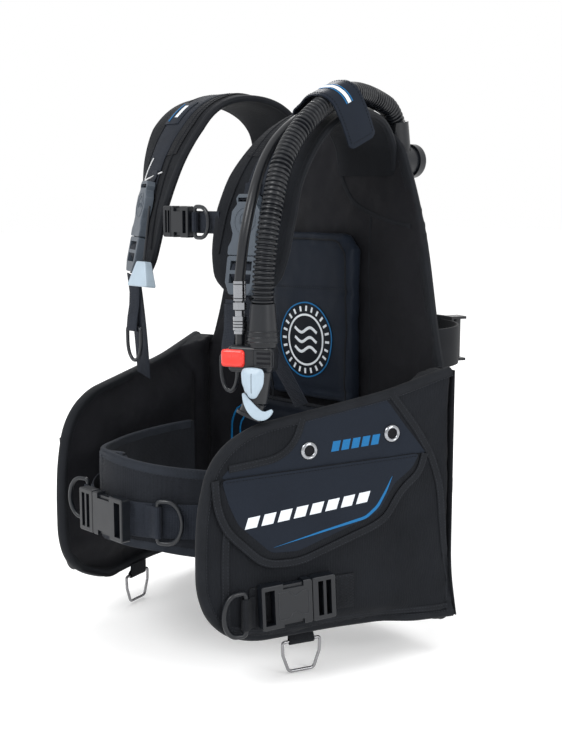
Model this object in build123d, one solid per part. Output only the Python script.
from build123d import *
import os
from math import cos, radians, sin, sqrt, tan

# Jacket buoyancy compensator, in millimetres. The origin is on the axis of the cylinder that the band
# holds, at the band's height. +X is the wearer's left, the front of the vest faces -Y, and +Z is up.

os.makedirs("parts", exist_ok=True)

# ---------------------------------------------------------------- driving dimensions
GAP = 0.4                    # air between pieces that move against each other
RUNNING = 0.05               # radial clearance of a pin in its bore

TANK_RADIUS = 92.3           # an 80 cubic foot aluminium cylinder is 184 mm across
BAND_THICKNESS = 3.0
BAND_HALF_HEIGHT = 25.0
BAND_GAP_DEG = 10.0          # half of the band's open sector, behind the cam buckle

CELL_BACK_Y = -108.0         # outer face of the back air cell
CELL_THICKNESS = 16.0
BACK_PAD_THICKNESS = 16.0
PLATE_HALF_WIDTH = 72.0
PLATE_HALF_HEIGHT = 190.0

LOBE_FRONT = (150.0, -410.0)  # plan point where a side lobe's outer face starts
LOBE_BACK = (235.0, -130.0)   # plan point where it meets the back
LOBE_THICKNESS = 32.0
LOBE_LENGTH = 284.0
RIGHT_LOBE_TURN = 2.0         # degrees

PAD_THICKNESS = 12.0
WEB_THICKNESS = 1.6
WIDE_WEB = 38.0
NARROW_WEB = 25.0
WAIST_Z = -152.0
STERNUM_Z = 163.0

CORRUGATED_RADIUS = 11.5
LP_HOSE_RADIUS = 5.5

PARTS = {}


# ---------------------------------------------------------------- small helpers
def face_of(points, radius=0.0):
    """A closed face through the points, with its corners rounded."""
    line = FilletPolyline(*points, radius=radius, close=True) if radius else Polyline(*points, close=True)
    return make_face(line)


def block(low, high):
    """An upright box between two opposite corners."""
    size = [b - a for a, b in zip(low, high)]
    middle = [(a + b) / 2 for a, b in zip(low, high)]
    return Pos(*middle) * Box(*size)


def rod(start, end, radius):
    """A straight round bar between two points."""
    axis = Vector(*end) - Vector(*start)
    return extrude(Plane(origin=start, z_dir=axis) * Circle(radius), axis.length)


def tube_along(path, radius):
    """A round bar swept along a path."""
    return sweep(Plane(origin=path @ 0, z_dir=path % 0) * Circle(radius), path=path)


def mirrored(shape):
    """The same shape on the wearer's other side."""
    return mirror(shape, about=Plane.YZ)


def on_right_lobe(shape):
    """A left lobe's piece on the right lobe, which hangs turned in a little more than the left one."""
    back_edge = Axis((-LOBE_BACK[0], LOBE_BACK[1], 0), (0, 0, 1))
    return mirrored(shape).rotate(back_edge, RIGHT_LOBE_TURN)


def pair(name, shape, other_side=mirrored):
    """Stores a left piece and its copy on the wearer's right."""
    PARTS["left_" + name] = shape
    PARTS["right_" + name] = other_side(shape)


def group(*shapes):
    return Compound(children=[s for shape in shapes for s in shape.solids()])


# ---------------------------------------------------------------- local frames
lobe_run = Vector(LOBE_BACK[0] - LOBE_FRONT[0], LOBE_BACK[1] - LOBE_FRONT[1], 0).normalized()
lobe_out = lobe_run.cross(Vector(0, 0, 1))
# x runs back along the left lobe, y is up and z points out of its outer face
LOBE = Plane(origin=(*LOBE_FRONT, 0), x_dir=lobe_run, z_dir=lobe_out)


# ---------------------------------------------------------------- soft body
def back_air_cell():
    outline = [(0, 266), (34, 287), (90, 276), (130, 250), (152, 190), (172, 120), (190, 40), (203, -4),
               (221, -30), (221, -232), (231, -281), (205, -292), (0, -296)]
    outline += [(-x, z) for x, z in reversed(outline[1:-1])]
    front = face_of(outline, 9.0)
    solid = extrude(Plane.XZ * front, 400)
    inner_y = CELL_BACK_Y - CELL_THICKNESS
    plan = [(-236, -132), (-206, -115), (-168, CELL_BACK_Y), (168, CELL_BACK_Y), (206, -115), (236, -132),
            (222, -152), (194, -134), (160, inner_y), (-160, inner_y), (-194, -134), (-222, -152)]
    wrap = extrude(Pos(0, 0, -310) * face_of(plan), 620)
    return wrap & solid


def lobe():
    outline = [(-16, -122), (-6, -82), (14, -58), (45, -42), (147, -26), (202, -17), (LOBE_LENGTH - 4, 4),
               (LOBE_LENGTH - 4, -225), (LOBE_LENGTH + 6, -281), (138, -275), (48, -277), (14, -263),
               (-9, -241), (-19, -212), (-19, -160)]
    slab = extrude(LOBE * face_of(outline), -LOBE_THICKNESS)
    far = LOBE_LENGTH + 8
    nose = [(-24, -10), (-12, 0), (far, 0), (far, -LOBE_THICKNESS), (-8, -LOBE_THICKNESS), (-19, -22)]
    side = Plane(origin=(*LOBE_FRONT, -320), x_dir=lobe_run, z_dir=(0, 0, 1))
    rounded = extrude(side * face_of([(u, -w) for u, w in nose]), 360)
    return slab & rounded


PAD_YAW = radians(20)         # how far the front of each pad turns towards the arm
PAD_TURN_TOP = 270.0          # above this height the pads aren't turned
PAD_TURN_FOOT = 175.0         # below this height they have the whole turn
PAD_TOP_Y = -200.0            # behind this the pads aren't turned either
PAD_NECK_X = 20.0             # the pad sheet is ruled between these two distances from the middle
PAD_ARM_X = 152.0
PAD_MIDDLE_X = 94.0           # the strap and its buckle run down this line


def arch_face(points, x):
    """The pad's cross-section at a distance x from the middle, its front turned by the yaw."""
    turned_points = []
    for y, z in points:
        share = 0.0
        if y < PAD_TOP_Y:
            below_top = (PAD_TURN_TOP - z) / (PAD_TURN_TOP - PAD_TURN_FOOT)
            share = min(max(below_top, 0.0), 1.0)
        turned_points.append((y + (x - PAD_MIDDLE_X) * tan(PAD_YAW) * share, z))
    middle = Spline(*turned_points)
    steps = [i / 24 for i in range(25)]
    outer = []
    inner = []
    for t in steps:
        place = middle @ t
        along = middle % t
        normal = Vector(along.Y, -along.X, 0) * (PAD_THICKNESS / 2)
        outer.append(place - normal)
        inner.append(place + normal)
    edge = [Spline(*outer), Line(outer[-1], inner[-1]), Spline(*reversed(inner)), Line(inner[0], outer[0])]
    # side view: local x is the world's Y and local y is the world's Z
    return Plane.YZ.offset(x) * make_face(edge)


def pad_arch(points):
    """A 12 mm sheet over the shoulder, ruled from its neck side to its arm side."""
    return loft([arch_face(points, PAD_NECK_X), arch_face(points, PAD_ARM_X)], ruled=True)


LEFT_ARCH = [(-118, 215), (-124, 250), (-152, 276), (-200, 281), (-247, 263), (-285, 220), (-307, 165),
             (-324, 80)]
RIGHT_ARCH = [(-118, 222), (-126, 272), (-158, 300), (-205, 306), (-252, 285), (-289, 235), (-307, 170),
              (-324, 90)]
LEFT_PAD_FRONT = [(60, 93), (78, 82), (112, 82), (130, 96), (137, 130), (138, 200), (146, 270), (146, 330),
                  (22, 330), (22, 215), (46, 205), (50, 130)]
RIGHT_PAD_FRONT = [(60, 110), (74, 99), (106, 99), (122, 112), (128, 140), (130, 200), (142, 270), (142, 330),
                   (22, 330), (22, 215), (46, 205), (50, 145)]


def shoulder_pad(points, front):
    """A left shoulder pad on the given arch, with the given outline from the front."""
    plan = [(28, -105), (36, -160), (54, -222), (45, -290), (45, -350), (150, -350), (148, -270), (148, -215),
            (134, -160), (120, -105)]
    silhouette = extrude(Plane.XZ * face_of(front, 6.0), 400)
    footprint = extrude(Pos(0, 0, 60) * face_of(plan), 300)
    return pad_arch(points) & silhouette & footprint


def cummerbund_line(offset):
    """Plan points of the waist band's path, moved outwards by offset."""
    half_width = 152 + offset
    depth = 238 + offset
    points = []
    for step in range(19):
        angle = radians(4 + 86 * step / 18)
        points.append((half_width * cos(angle), -193 - depth * sin(angle)))
    return points


def cummerbund(offset, past_middle):
    """One left half of the waist band, 8 mm thick, running past the middle by a few steps."""
    outer = cummerbund_line(offset)
    inner = cummerbund_line(offset - 7)
    outer += [(-x, y) for x, y in reversed(outer[-1 - past_middle:-1])]
    inner += [(-x, y) for x, y in reversed(inner[-1 - past_middle:-1])]
    edge = [Spline(*outer), Line(outer[-1], inner[-1]), Spline(*reversed(inner)), Line(inner[0], outer[0])]
    ring = extrude(Pos(0, 0, -210) * make_face(edge), 140)
    profile = [(-220, -200), (-60, -188), (0, -184), (60, -186), (220, -214), (220, -100), (100, -98),
               (0, -86), (-60, -82), (-220, -80)]
    return ring & extrude(Plane.XZ * face_of(profile), 480)


cell = back_air_cell()
PARTS["back_air_cell"] = cell
left_lobe = lobe() - cell
pair("lobe", left_lobe, on_right_lobe)
PARTS["right_lobe"] -= cell

left_pad = shoulder_pad(LEFT_ARCH, LEFT_PAD_FRONT) - cell
right_pad = mirrored(shoulder_pad(RIGHT_ARCH, RIGHT_PAD_FRONT)) - cell
PARTS["left_shoulder_pad"] = left_pad

pad_back_y = CELL_BACK_Y - CELL_THICKNESS
back_pad_outline = [(-60, 151), (60, 151), (77, 132), (77, -62), (-77, -62), (-77, 132)]
PARTS["back_pad"] = extrude(Plane.XZ.offset(-pad_back_y) * face_of(back_pad_outline, 8.0), BACK_PAD_THICKNESS)
lumbar_outline = [(-108, -64), (108, -64), (150, -92), (156, -106), (156, -214), (140, -236), (-140, -236),
                  (-156, -214), (-156, -106), (-150, -92)]
PARTS["lumbar_pad"] = extrude(Plane.XZ.offset(-pad_back_y) * face_of(lumbar_outline, 6.0), BACK_PAD_THICKNESS)

PARTS["left_cummerbund"] = cummerbund(6.0, 2)
PARTS["right_cummerbund"] = mirrored(cummerbund(-1.5, 1))

# ---------------------------------------------------------------- pocket flaps
FLAP_LIFT = 0.6
FLAP_THICKNESS = 3.0
flap_outline = [(2, -93), (242, -86), (236, -106), (214, -122), (196, -150), (182, -158), (92, -186),
                (54, -184), (14, -146), (4, -122)]
flap = extrude(LOBE.offset(FLAP_LIFT) * face_of(flap_outline), FLAP_THICKNESS)
pair("pocket_flap", flap, on_right_lobe)

# ---------------------------------------------------------------- back hardware
cradle_radius = TANK_RADIUS + 0.6
band_outer = TANK_RADIUS + BAND_THICKNESS


def ring_sector(inner, outer, half_height, start_deg, end_deg):
    """A piece of a tube round the cylinder's axis, between two angles."""
    whole = extrude(Pos(0, 0, -half_height) * (Circle(outer) - Circle(inner)), 2 * half_height)
    reach = 2 * outer
    fan = [(0, 0)]
    sectors = 8
    for step in range(sectors + 1):
        angle = radians(start_deg + (end_deg - start_deg) * step / sectors)
        fan.append((reach * cos(angle), reach * sin(angle)))
    return whole & extrude(Pos(0, 0, -half_height) * face_of(fan), 2 * half_height)


def backplate():
    plate_face = [(-PLATE_HALF_WIDTH, -170), (-50, -PLATE_HALF_HEIGHT), (50, -PLATE_HALF_HEIGHT),
                  (PLATE_HALF_WIDTH, -170), (PLATE_HALF_WIDTH, 150), (46, PLATE_HALF_HEIGHT),
                  (-46, PLATE_HALF_HEIGHT), (-PLATE_HALF_WIDTH, 150)]
    silhouette = extrude(Plane.XZ * face_of(plate_face, 8.0), 130)
    plate = block((-80, CELL_BACK_Y, -200), (80, CELL_BACK_Y + 5, 200))
    cradle = ring_sector(cradle_radius, cradle_radius + 6, 200, -128, -52)
    ribs = [block((x - 2, CELL_BACK_Y, -200), (x + 2, -64, 200)) for x in (-62, -36, 36, 62)]
    solid = plate + cradle
    for rib in ribs:
        solid += rib
    solid -= extrude(Pos(0, 0, -210) * Circle(cradle_radius), 420)
    solid -= extrude(Pos(0, 0, -BAND_HALF_HEIGHT - 2) * Circle(band_outer + 0.4), 2 * BAND_HALF_HEIGHT + 4)
    for height in (-140, -75, 75, 135):
        solid -= extrude(Plane.XZ * Pos(0, height) * SlotOverall(52, 20), 130)
    return solid & silhouette


PARTS["backplate"] = backplate()
PARTS["tank_band"] = ring_sector(TANK_RADIUS, band_outer, BAND_HALF_HEIGHT, 90 + BAND_GAP_DEG,
                                 450 - BAND_GAP_DEG)

PIN_RADIUS = 2.5
PIN_DISTANCE = 108.0
PIN_ANGLE = radians(72)
pin_at = (PIN_DISTANCE * cos(PIN_ANGLE), PIN_DISTANCE * sin(PIN_ANGLE))


def cam_frame():
    base = ring_sector(band_outer + 0.3, band_outer + 3.3, 30, 66, 114)
    cheek = ring_sector(band_outer + 3.0, 118, 30, 67, 78)
    cheek -= block((-200, 0, -26.5), (200, 200, 26.5))
    return base + cheek - rod((*pin_at, -40), (*pin_at, 40), PIN_RADIUS)


def cam_lever():
    arm = ring_sector(104.5, 109, 24, 70, 128)
    hub = rod((*pin_at, -26), (*pin_at, 26), 6.0)
    solid = arm + hub
    for angle in (84, 92, 112):
        solid -= ring_sector(100, 115, 20, angle, angle + 3)
    solid -= rod((*pin_at, -40), (*pin_at, 40), PIN_RADIUS + RUNNING)
    return solid


PARTS["cam_buckle_frame"] = cam_frame()
PARTS["cam_lever"] = cam_lever()
PARTS["cam_pin"] = rod((*pin_at, -30), (*pin_at, 30), PIN_RADIUS)

handle_foot_z = PLATE_HALF_HEIGHT + 0.2
handle_path = FilletPolyline((-36, -99, handle_foot_z), (-36, -99, 222), (36, -99, 222),
                             (36, -99, handle_foot_z), radius=13)
PARTS["carry_handle"] = tube_along(handle_path, 5.0)


# ---------------------------------------------------------------- rings that hang on webbing
def ring_path(width, depth, corner):
    """A D: its bar on the y axis, its bow towards +x."""
    points = [(0, -width / 2), (0, width / 2), (depth * 0.55, width / 2), (depth, width * 0.22),
              (depth, -width * 0.22), (depth * 0.55, -width / 2)]
    return FilletPolyline(*points, radius=corner, close=True)


def d_ring(place, width, depth, wire):
    """A D-ring in a local frame whose x is the way the bow points."""
    path = place * ring_path(width, depth, wire * 0.9)
    start = Plane(origin=path @ 0, z_dir=path % 0)
    return sweep(start * Circle(wire / 2), path=path)


def web_loop(place, length, wire, tail):
    """A fold of webbing round a ring's bar, with a flat tail that runs away from the bow."""
    outer = wire / 2 + GAP + WEB_THICKNESS
    fold = Cylinder(outer, length, rotation=(90, 0, 0))
    flat = block((-tail, -length / 2, -outer), (0, length / 2, outer - WEB_THICKNESS - GAP))
    solid = fold + flat
    solid -= Cylinder(wire / 2 + GAP, length + 2, rotation=(90, 0, 0))
    return place * solid


# ---------------------------------------------------------------- side-release buckles
def side_release(place, web, length, thick):
    """Both halves of a side-release buckle. The female half lies towards -x and the male half towards +x."""
    wide = web + 10
    half = length / 2
    split = 0.18 * length
    low = 0.8
    high = low + thick
    wall = 2.0
    shell = block((-half, -wide / 2, low), (split, wide / 2, high))
    shell = fillet(shell.edges().filter_by(Axis.Z), 3.0)
    shell = fillet(shell.faces().sort_by(Axis.Z)[-1].edges(), 1.2)
    cavity_start = -half + 0.26 * length
    inner_half = wide / 2 - wall
    shell -= block((cavity_start, -inner_half, low + wall), (split + 1, inner_half, high - wall))
    window_end = split - 0.12 * length
    for side in (-1, 1):
        edges = sorted([side * (inner_half - 4.0), side * (wide / 2 + 1)])
        shell -= block((cavity_start + 2, edges[0], low - 1), (window_end, edges[1], high + 1))
    shell -= block((-half + 3.5, -web / 2, low - 1), (-half + 3.5 + 0.13 * length, web / 2, high + 1))

    base = block((split + GAP, -wide / 2, low), (half, wide / 2, high))
    base = fillet(base.edges().filter_by(Axis.Z), 2.5)
    base = fillet(base.faces().sort_by(Axis.Z)[-1].edges(), 1.2)
    bar_pitch = 0.11 * length
    for start in (half - 3.5 - 0.09 * length, half - 3.5 - 0.09 * length - bar_pitch):
        base -= block((start, -web / 2, low - 1), (start + 0.07 * length, web / 2, high + 1))
    tongue_low = low + wall + GAP
    tongue_high = high - wall - GAP
    for side in (-1, 1):
        edges = sorted([side * (inner_half - GAP), side * (inner_half - GAP - 4.5)])
        base += block((cavity_start + 1.5, edges[0], tongue_low), (split + 3, edges[1], tongue_high))
    base += block((cavity_start + 5, -3, tongue_low), (split + 3, 3, tongue_high))
    return place * shell, place * base


# ---------------------------------------------------------------- waist
FRONT_Y = -438.4                       # just in front of the waist band at the middle
waist_place = Plane(origin=(0, FRONT_Y - WEB_THICKNESS, WAIST_Z), x_dir=(-1, 0, 0), z_dir=(0, -1, 0))
WAIST_BUCKLE_LENGTH = 82.0
waist_female, waist_male = side_release(waist_place, WIDE_WEB, WAIST_BUCKLE_LENGTH, 11.0)
PARTS["waist_buckle_female"] = waist_female
PARTS["waist_buckle_male"] = waist_male


def waist_strap():
    """The left waist strap, from inside the lobe round to the middle."""
    outer = cummerbund_line(7.0 + WEB_THICKNESS)
    inner = cummerbund_line(7.0)
    outer = outer[4:-1] + [(0.5, outer[-1][1])]
    inner = inner[4:-1] + [(0.5, inner[-1][1])]
    edge = [Spline(*outer), Line(outer[-1], inner[-1]), Spline(*reversed(inner)), Line(inner[0], outer[0])]
    half = WIDE_WEB / 2
    return extrude(Pos(0, 0, WAIST_Z - half) * make_face(edge), WIDE_WEB)


def on_waist(x, lift):
    """A frame on the left waist strap: x runs back along it and z points out of it."""
    half_width = 152 + 7 + WEB_THICKNESS
    depth = 238 + 7 + WEB_THICKNESS
    sine = sqrt(1 - (x / half_width) ** 2)
    run = Vector(half_width * sine, depth * x / half_width, 0).normalized()
    out = run.cross(Vector(0, 0, 1))
    return Plane(origin=Vector(x, -193 - depth * sine, WAIST_Z) + out * lift, x_dir=run, z_dir=out)


WAIST_RING_X = 64.0
WAIST_RING = (46.0, 30.0, 5.0)         # width, depth and wire
RIGHT_RING_SWING = 50.0                # the right ring stands out from its strap
waist_ring_place = on_waist(WAIST_RING_X, 4.8)
ring = d_ring(waist_ring_place, *WAIST_RING)
PARTS["left_waist_ring"] = ring
swing_axis = Axis(waist_ring_place.origin, (0, 0, 1))
PARTS["right_waist_ring"] = mirrored(ring.rotate(swing_axis, -RIGHT_RING_SWING))
waist_tab = web_loop(waist_ring_place, WIDE_WEB - 3, WAIST_RING[2], 16)
waist_strap_left = waist_strap()
waist_strap_right = mirrored(waist_strap_left) - PARTS["right_lobe"]
PARTS["waist_straps"] = group(waist_strap_left, waist_tab, waist_strap_right, mirrored(waist_tab))

# ---------------------------------------------------------------- sternum strap
STERNUM_Y = -324.0
# its male half lies on the wearer's right, away from the ring
sternum_place = Plane(origin=(-12, STERNUM_Y - WEB_THICKNESS, STERNUM_Z), x_dir=(-1, 0, 0), z_dir=(0, -1, 0))
sternum_female, sternum_male = side_release(sternum_place, NARROW_WEB, 46.0, 9.0)
PARTS["sternum_buckle_female"] = sternum_female
PARTS["sternum_buckle_male"] = sternum_male
STERNUM_RING = (34.0, 26.0, 4.5)
sternum_ring_place = Plane(origin=(18, STERNUM_Y - 6.5, STERNUM_Z), x_dir=(1, 0, 0), z_dir=(0, -1, 0))
PARTS["sternum_ring"] = d_ring(sternum_ring_place, *STERNUM_RING)
sternum_web = block((-52, STERNUM_Y - WEB_THICKNESS, STERNUM_Z - NARROW_WEB / 2),
                    (54, STERNUM_Y, STERNUM_Z + NARROW_WEB / 2))
sternum_tab = web_loop(sternum_ring_place, 22, STERNUM_RING[2], 5)
sternum_solid = (sternum_web + sternum_tab) - left_pad - right_pad
PARTS["sternum_straps"] = group(sternum_solid)

# ---------------------------------------------------------------- shoulder buckles and lower webbing
pad_across = Vector(cos(PAD_YAW), sin(PAD_YAW), 0)
pad_up = Vector(-sin(PAD_YAW) * 0.21, cos(PAD_YAW) * 0.21, 1).normalized()
pad_out = pad_across.cross(pad_up)
# x is across the pad, y is up along it and z points forwards out of it
shoulder_place = Plane(origin=(PAD_MIDDLE_X, -318.5, 141), x_dir=pad_across, z_dir=pad_out)
RIGHT_BUCKLE_MOVE = (0, 1.2, 15)        # the right strap is set shorter, so its buckle sits higher


def on_right_shoulder(shape):
    """The mirror image of a left shoulder piece, set higher on the right pad."""
    return mirrored(Pos(*RIGHT_BUCKLE_MOVE) * shape)


def shoulder_female():
    """The broad rounded upper half, with a slot for the strap and a socket for the male half."""
    right_edge = [(11, 52), (14, 47), (12, 41), (17.5, 33), (18, 20), (14, 9), (15, 1), (18, -5), (18, -14)]
    outline = right_edge + [(-x, y) for x, y in reversed(right_edge)]
    shell = extrude(Pos(0, 0, 1) * face_of(outline, 2.5), 10)
    shell = fillet(shell.faces().sort_by(Axis.Z)[-1].edges(), 1.2)
    shell -= block((-11, 43.5, 0), (11, 48, 20))
    shell -= block((-12.5, -15, 3), (12.5, 27, 8.6))
    return shell


def shoulder_male():
    """The ladder lock that hangs from two prongs."""
    outline = [(-18, -14.5), (18, -14.5), (18, -43), (12, -56), (-12, -56), (-18, -43)]
    frame = extrude(Pos(0, 0, 1) * face_of(outline, 3.0), 9.5)
    frame = fillet(frame.faces().sort_by(Axis.Z)[-1].edges(), 1.2)
    frame -= block((-13, -30, 0), (13, -20, 20))
    frame -= block((-13, -44, 0), (13, -34, 20))
    for side in (-1, 1):
        edges = sorted([side * 7.5, side * 12.1])
        frame += block((edges[0], -17, 3.5), (edges[1], 24, 8.1))
    frame += block((-2.5, -17, 3.5), (2.5, 16, 8.1))
    return frame


left_female = shoulder_place * shoulder_female()
left_male = shoulder_place * shoulder_male()
PARTS["shoulder_buckle_females"] = group(left_female, on_right_shoulder(left_female))
pair("shoulder_buckle_male", left_male, on_right_shoulder)

WEB_ANCHOR = (145.0, -287.0, -31.0)


def flat_strap(start, end, width, thickness, across):
    """A straight strap between two points, its width along across."""
    start = Vector(*start)
    run = Vector(*end) - start
    place = Plane(origin=start, x_dir=across, z_dir=run)
    return extrude(place * Rectangle(width, thickness), run.length)


LOWER_WEB_START = (1, -61, 2.5)
lower_start = Vector(*shoulder_place.from_local_coords(LOWER_WEB_START))
PARTS["left_lower_webbing"] = flat_strap(lower_start, WEB_ANCHOR, NARROW_WEB, WEB_THICKNESS, (1, 0, 0))
right_lower_start = lower_start + Vector(*RIGHT_BUCKLE_MOVE)
PARTS["right_lower_webbing"] = mirrored(flat_strap(right_lower_start, WEB_ANCHOR, NARROW_WEB, WEB_THICKNESS,
                                                   (1, 0, 0)))

PULL_BAR = (89.0, -341.0, 22.0)
PULL_WIRE = 4.4
pull_frame = Plane(origin=PULL_BAR, x_dir=(0, 0, -1), z_dir=(0, -1, 0))
pull_loop = web_loop(pull_frame, 20, PULL_WIRE, 60)
pair("pull_tail", pull_loop, on_right_shoulder)
pair("pull_ring", d_ring(pull_frame, 27.0, 42.0, PULL_WIRE), on_right_shoulder)

# ---------------------------------------------------------------- pocket hardware on the lobes
POCKET_BUCKLE = (88.0, -231.0)         # along and up the lobe
pocket_place = LOBE * Plane(origin=(*POCKET_BUCKLE, WEB_THICKNESS), x_dir=(1, 0.045, 0), z_dir=(0, 0, 1))
pocket_female, pocket_male = side_release(pocket_place, WIDE_WEB, 86.0, 12.0)
PARTS["pocket_buckle_females"] = group(pocket_female, on_right_lobe(pocket_female))
pair("pocket_buckle_male", pocket_male, on_right_lobe)

POCKET_HANDLE = (46.0, 27.0, 5.5)      # width, depth and wire
handle_place = LOBE * Plane(origin=(30, -238, 5.6), x_dir=(-1, 0, 0), z_dir=(0, 0, 1))
pair("pocket_handle", d_ring(handle_place, *POCKET_HANDLE), on_right_lobe)
handle_loop = web_loop(handle_place, WIDE_WEB - 4, POCKET_HANDLE[2], 13)
web_middle = POCKET_BUCKLE[1]
web_half = WIDE_WEB / 2
pocket_web = LOBE * block((36, web_middle - web_half, 0.1), (160, web_middle + web_half, WEB_THICKNESS))

STEEL_RING = (46.0, 34.0, 3.6)
ring_depth = -LOBE_THICKNESS + 9
steel_place = Plane(origin=LOBE.from_local_coords((108, -288, ring_depth)), x_dir=(0, 0, -1),
                    z_dir=lobe_out)


def steel_ring():
    """A bent wire ring, wider at its bar than at its foot."""
    width, depth, wire = STEEL_RING
    points = [(0, -width / 2), (0, width / 2), (depth * 0.45, width / 2 - 1), (depth, width / 2 - 8),
              (depth, -width / 2 + 8), (depth * 0.45, -width / 2 + 1)]
    path = steel_place * FilletPolyline(*points, radius=[3.0, 3.0, 6.0, 5.0, 5.0, 6.0], close=True)
    return sweep(Plane(origin=path @ 0, z_dir=path % 0) * Circle(wire / 2), path=path)


pair("steel_ring", steel_ring(), on_right_lobe)
steel_tab = web_loop(steel_place, 30, STEEL_RING[2], 14) - left_lobe
web_pieces = [handle_loop, pocket_web, steel_tab]
PARTS["sewn_webbing"] = group(*web_pieces, *[on_right_lobe(piece) for piece in web_pieces])

GROMMETS = [(105.0, -72.0), (205.0, -62.0)]
GROMMET_OUTER = 10.0
GROMMET_BORE = 5.5


def grommet(place):
    barrel = Circle(GROMMET_OUTER) - Circle(GROMMET_BORE)
    return extrude(place * Pos(0, 0, 0.1) * barrel, 2.4)


left_grommets = [grommet(LOBE * Plane(origin=(*spot, 0))) for spot in GROMMETS]
PARTS["pocket_grommets"] = group(*left_grommets, *[on_right_lobe(piece) for piece in left_grommets])

# ---------------------------------------------------------------- inflator
INFLATOR_AXIS = (160.0, -355.0)
INFLATOR_TURN = radians(28)
across = Vector(-cos(INFLATOR_TURN), -sin(INFLATOR_TURN), 0)
# x points at the low-pressure nipple, y away from the wearer, z up
INFLATOR = Plane(origin=(*INFLATOR_AXIS, 0), x_dir=across, z_dir=(0, 0, 1))
HOSE_END_Z = 84.0
NIPPLE_X = 25.0


def button_place(depth):
    """The deflate button's frame, at a depth in front of the inflator's axis."""
    return Plane(origin=(6, depth, 5), x_dir=(1, 0, 0), z_dir=(0, 1, 0))


def inflator_body():
    collar = Pos(0, 0, 68) * Cone(15.5, 12.6, 32)
    collar -= Pos(0, 0, 84) * Cylinder(CORRUGATED_RADIUS + 0.2, 20)
    ribs = Pos(0, 0, 48) * Cylinder(16.2, 8)
    neck = Pos(0, 0, 43) * Cylinder(14.5, 6)
    head = block((-13, -13, 14), (34, 13, 41))
    head = fillet(head.edges(), 4.0)
    barrel = rod((3, 0, 18), (8, 1.5, -17), 13.0)
    solid = collar + ribs + neck + head + barrel
    nipple = Pos(NIPPLE_X, 0, 46) * Cylinder(4.6, 12)
    solid += nipple
    # bores for the two buttons and the oral tube
    solid -= block((25.5, -8.5, 19.5), (40, 8.5, 36.5))
    solid -= extrude(button_place(8.9) * SlotOverall(27.0, 17.0, rotation=90), 20)
    solid -= rod((6.5, 1.0, -6), (8.6, 1.7, -21), 8.5)
    return solid


def inflate_button():
    key = block((29.7, -8.1, 19.9), (41.5, 8.1, 36.1))
    return fillet(key.edges(), 2.0)


def deflate_button():
    cap = extrude(button_place(14.0) * SlotOverall(26.2, 16.2, rotation=90), 6.5)
    return fillet(cap.faces().sort_by(Axis.Y)[-1].edges(), 2.5)


def mouthpiece():
    tube = rod((8.1, 1.6, -17.8), (12.5, 4.0, -30), 12.0)
    lip = rod((12.5, 4.0, -30), (13.6, 4.6, -33), 14.5)
    solid = tube + lip
    solid -= rod((6.6, 0.8, -14), (15.5, 5.6, -38), 8.0)
    return solid - inflator_body()


PARTS["inflator_body"] = INFLATOR * inflator_body()
PARTS["inflate_button"] = INFLATOR * inflate_button()
PARTS["deflate_button"] = INFLATOR * deflate_button()
PARTS["mouthpiece"] = INFLATOR * mouthpiece()


# ---------------------------------------------------------------- hoses
def smooth_path(points):
    """Straight runs joined by the largest tangent arcs that leave a tenth of each run straight."""
    places = [Vector(*point) for point in points]
    radii = []
    for before, here, after in zip(places, places[1:], places[2:]):
        turn = radians((here - before).get_angle(after - here))
        shorter = min((here - before).length, (after - here).length)
        radii.append(0.45 * shorter / tan(turn / 2))
    return FilletPolyline(*places, radius=radii)


ELBOW = (101.0, CELL_BACK_Y, 232.0)
corrugated_points = [
    (160, -355, HOSE_END_Z), (160.5, -355, 112), (162, -351, 150), (158, -340, 186), (152, -325, 220),
    (146, -302, 250), (143, -272, 276), (138, -238, 294), (128, -204, 304), (117, -170, 305),
    (109, -137, 300), (103, -104, 290), (101, -91, 262)]
corrugated_path = smooth_path(corrugated_points)
PARTS["corrugated_hose"] = tube_along(corrugated_path, CORRUGATED_RADIUS)
print("corrugated length", round(corrugated_path.length))

coupling_low = INFLATOR.from_local_coords((NIPPLE_X, 0, 52.2))
coupling_top = coupling_low + Vector(-1.5, 0.8, 54)
lp_points = [
    tuple(coupling_top), (141, -366, 138), (141, -359, 168), (135, -344, 200), (123, -322, 227),
    (112, -296, 250), (107, -266, 270), (104, -232, 286), (98, -196, 295), (89, -162, 297),
    (78, -130, 299), (67, -102, 290), (62, -97, 257), (64, -97, 229), (72, -97, 205), (91, -97.5, 185),
    (108, -98.5, 160), (114, -98.5, 128), (116, -98.5, 94), (116.5, -98.0, 58), (115, -98.5, 24),
    (112, -98.5, -10)]
lp_path = smooth_path(lp_points)
PARTS["lp_hose"] = tube_along(lp_path, LP_HOSE_RADIUS)
print("low-pressure length", round(lp_path.length))

coupling_axis = (Vector(*lp_points[0]) - coupling_low).normalized()
along = Plane(origin=coupling_low, z_dir=coupling_axis)


def hose_coupling():
    """The quick coupling's body with the crimped ferrule of the hose."""
    run = (Vector(*lp_points[0]) - coupling_low).length
    body = Pos(0, 0, run / 2) * Cylinder(4.9, run)
    crimp = Pos(0, 0, run - 10) * Cylinder(6.4, 20)
    hexagon = extrude(Pos(0, 0, 25) * RegularPolygon(7.0, 6), 7)
    foot = Pos(0, 0, 1.5) * Cylinder(6.2, 3)
    return along * (body + crimp + hexagon + foot)


def coupling_sleeve():
    """The knurled sleeve that slides up to let the coupling go."""
    sleeve = Pos(0, 0, 10.8) * Cylinder(7.2, 14)
    for height in (7, 10, 13):
        sleeve -= Pos(0, 0, height) * (Cylinder(8, 1.0) - Cylinder(6.6, 1.0))
    sleeve -= Pos(0, 0, 10.8) * Cylinder(4.9 + RUNNING, 20)
    return along * sleeve


PARTS["hose_coupling"] = hose_coupling() - PARTS["lp_hose"]
PARTS["coupling_sleeve"] = coupling_sleeve()

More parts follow.
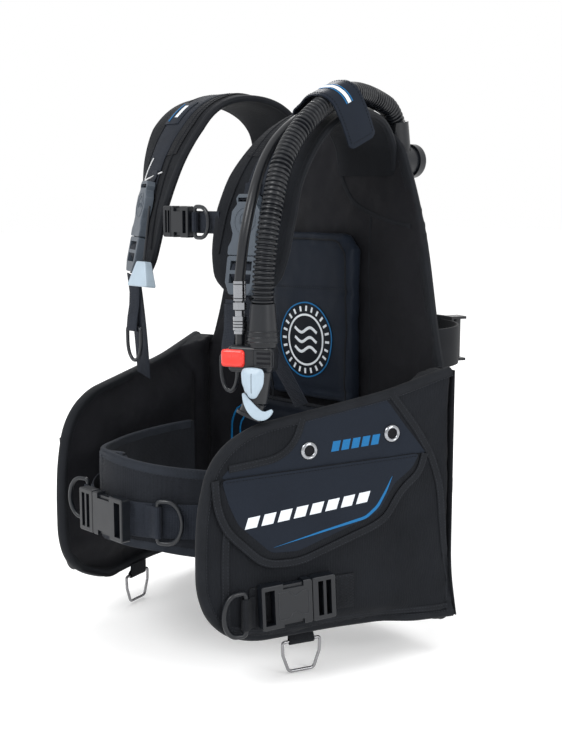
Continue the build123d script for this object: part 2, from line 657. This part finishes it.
FITTING_RADIUS = 4.76
end_way = (Vector(*lp_points[-1]) - Vector(*lp_points[-2])).normalized()
fitting_place = Plane(origin=lp_points[-1], z_dir=end_way)
fitting = Pos(0, 0, 9) * Cylinder(7.0, 18)
fitting += extrude(Pos(0, 0, 18) * RegularPolygon(8.0, 6), 9)
fitting += Pos(0, 0, 31.5) * Cylinder(FITTING_RADIUS, 9)
fitting -= Pos(0, 0, 27) * Cylinder(2.2, 30)
PARTS["lp_fitting"] = fitting_place * fitting


def hose_elbow():
    """The moulded elbow on the back of the cell, open to the hose above it."""
    x, y, z = ELBOW
    base = rod((x, y, z), (x, y + 6, z), 22)
    barrel = rod((x, y + 5, z), (x, y + 34, z), 17.5)
    hose_way = (Vector(*corrugated_points[-1]) - Vector(*corrugated_points[-2])).normalized()
    top = Vector(*corrugated_points[-1])
    cuff = rod(tuple(top - hose_way * 16), (x, y + 18, z), CORRUGATED_RADIUS + 3.4)
    solid = base + barrel + cuff
    solid -= rod(tuple(top - hose_way * 22), tuple(top), CORRUGATED_RADIUS + 0.15)
    solid -= rod(tuple(top), (x, y + 18, z), CORRUGATED_RADIUS - 2)
    solid -= rod((x, y + 10, z), (x, y + 40, z), 15)
    solid -= block((x - 60, y - 50, z - 60), (x + 60, y, z + 90))
    return solid


elbow = hose_elbow()
PARTS["hose_elbow"] = elbow - PARTS["corrugated_hose"]
cap = rod((ELBOW[0], ELBOW[1] + 34.2, ELBOW[2]), (ELBOW[0], ELBOW[1] + 46, ELBOW[2]), 20)
PARTS["elbow_cap"] = fillet(cap.faces().sort_by(Axis.Y)[-1].edges(), 3.5)


# ---------------------------------------------------------------- hose keeper flap
def keeper_flap():
    """A strip that bridges both hoses, from the pad's neck side to its arm side."""
    outer = [(-47, -27), (-45, -2), (-30, 4), (-14, 14.5), (8, 14.5), (21, 4), (25, -48)]
    line = FilletPolyline(*outer, radius=[6, 12, 9, 7, 9])
    strip = offset(line, 2.4, side=Side.RIGHT, closed=True)
    return extrude(KEEPER * make_face(strip), KEEPER_WIDTH)


KEEPER_SLOPE = radians(24)
KEEPER_WIDTH = 42.0
# x is across the shoulder and y is up from the hose; z runs forwards and down along it
KEEPER = Plane(origin=(138, -217, 302), x_dir=(1, 0, 0), z_dir=(0, -cos(KEEPER_SLOPE), -sin(KEEPER_SLOPE)))
keeper = keeper_flap() - Pos(*(KEEPER.y_dir * GAP)) * left_pad
PARTS["hose_keeper_flap"] = keeper.solids().sort_by(SortBy.VOLUME)[-1]

# ---------------------------------------------------------------- dump valves
SHOULDER_DUMP = (-98.0, CELL_BACK_Y, 228.0)
REAR_DUMP = (-150.0, CELL_BACK_Y, -245.0)


def dump_body(place, bore):
    x, y, z = place
    solid = rod((x, y, z), (x, y + 5, z), 24) + rod((x, y + 4, z), (x, y + 18, z), 20)
    solid -= rod((x, y + 3, z), (x, y + 15.5, z), 17)
    solid -= rod((x, y + 15, z), (x, y + 20, z), bore)
    for side in (-1, 1):
        solid -= block((x - 26, y + 9, z + side * 9 - 2.5), (x + 26, y + 13, z + side * 9 + 2.5))
    return solid


PARTS["dump_valve_bodies"] = group(dump_body(SHOULDER_DUMP, 4.0), dump_body(REAR_DUMP, 4.0))
dump_x, dump_y, dump_z = SHOULDER_DUMP
PARTS["shoulder_dump_disc"] = rod((dump_x, dump_y + 3.4, dump_z), (dump_x, dump_y + 6.0, dump_z), 15)

knob_way = Vector(0, 14, 95).normalized()
knob_at = Vector(-57, -351, 88)


def pull_knob(size_low, size_high, height, deep):
    """A tapered grip, wide at its foot."""
    foot = Rectangle(size_low, deep)
    head = Pos(0, 0, height) * Rectangle(size_high, deep * 0.7)
    grip = loft(Sketch() + [foot, head])
    return fillet(grip.edges(), 2.0)


knob_place = Plane(origin=knob_at, x_dir=(1, 0, 0), z_dir=knob_way)
knob = pull_knob(39, 17, 29, 15)
knob_cord = Pos(0, 0, 28 + 32) * Cylinder(1.3, 66)
PARTS["shoulder_dump_knob"] = knob_place * (knob + knob_cord)
sleeve_tube = Pos(0, 0, 33 + 29) * Cylinder(3.4, 50) - Pos(0, 0, 33 + 29) * Cylinder(1.3 + 0.35, 52)
# the pull cord runs in a sleeve whose seam allowance is sewn to the front of the right shoulder pad
sleeve_seam = block((-1.5, 2.5, 38), (1.5, 16, 86))
PARTS["right_shoulder_pad"] = group(right_pad, knob_place * (sleeve_tube + sleeve_seam) - right_pad)

rear_x, rear_y, rear_z = REAR_DUMP
rear_disc = rod((rear_x, rear_y + 3.4, rear_z), (rear_x, rear_y + 6.0, rear_z), 15)
rear_stem = rod((rear_x, rear_y + 5, rear_z), (rear_x, rear_y + 34, rear_z), 1.6)
rear_ball = Pos(rear_x, rear_y + 38, rear_z) * Sphere(8)
PARTS["rear_dump_knob"] = rear_disc + rear_stem + rear_ball

# ---------------------------------------------------------------- write every sub-part
for name, shape in PARTS.items():
    export_step(shape, f"parts/{name}.step")
print(len(PARTS), "sub-parts")
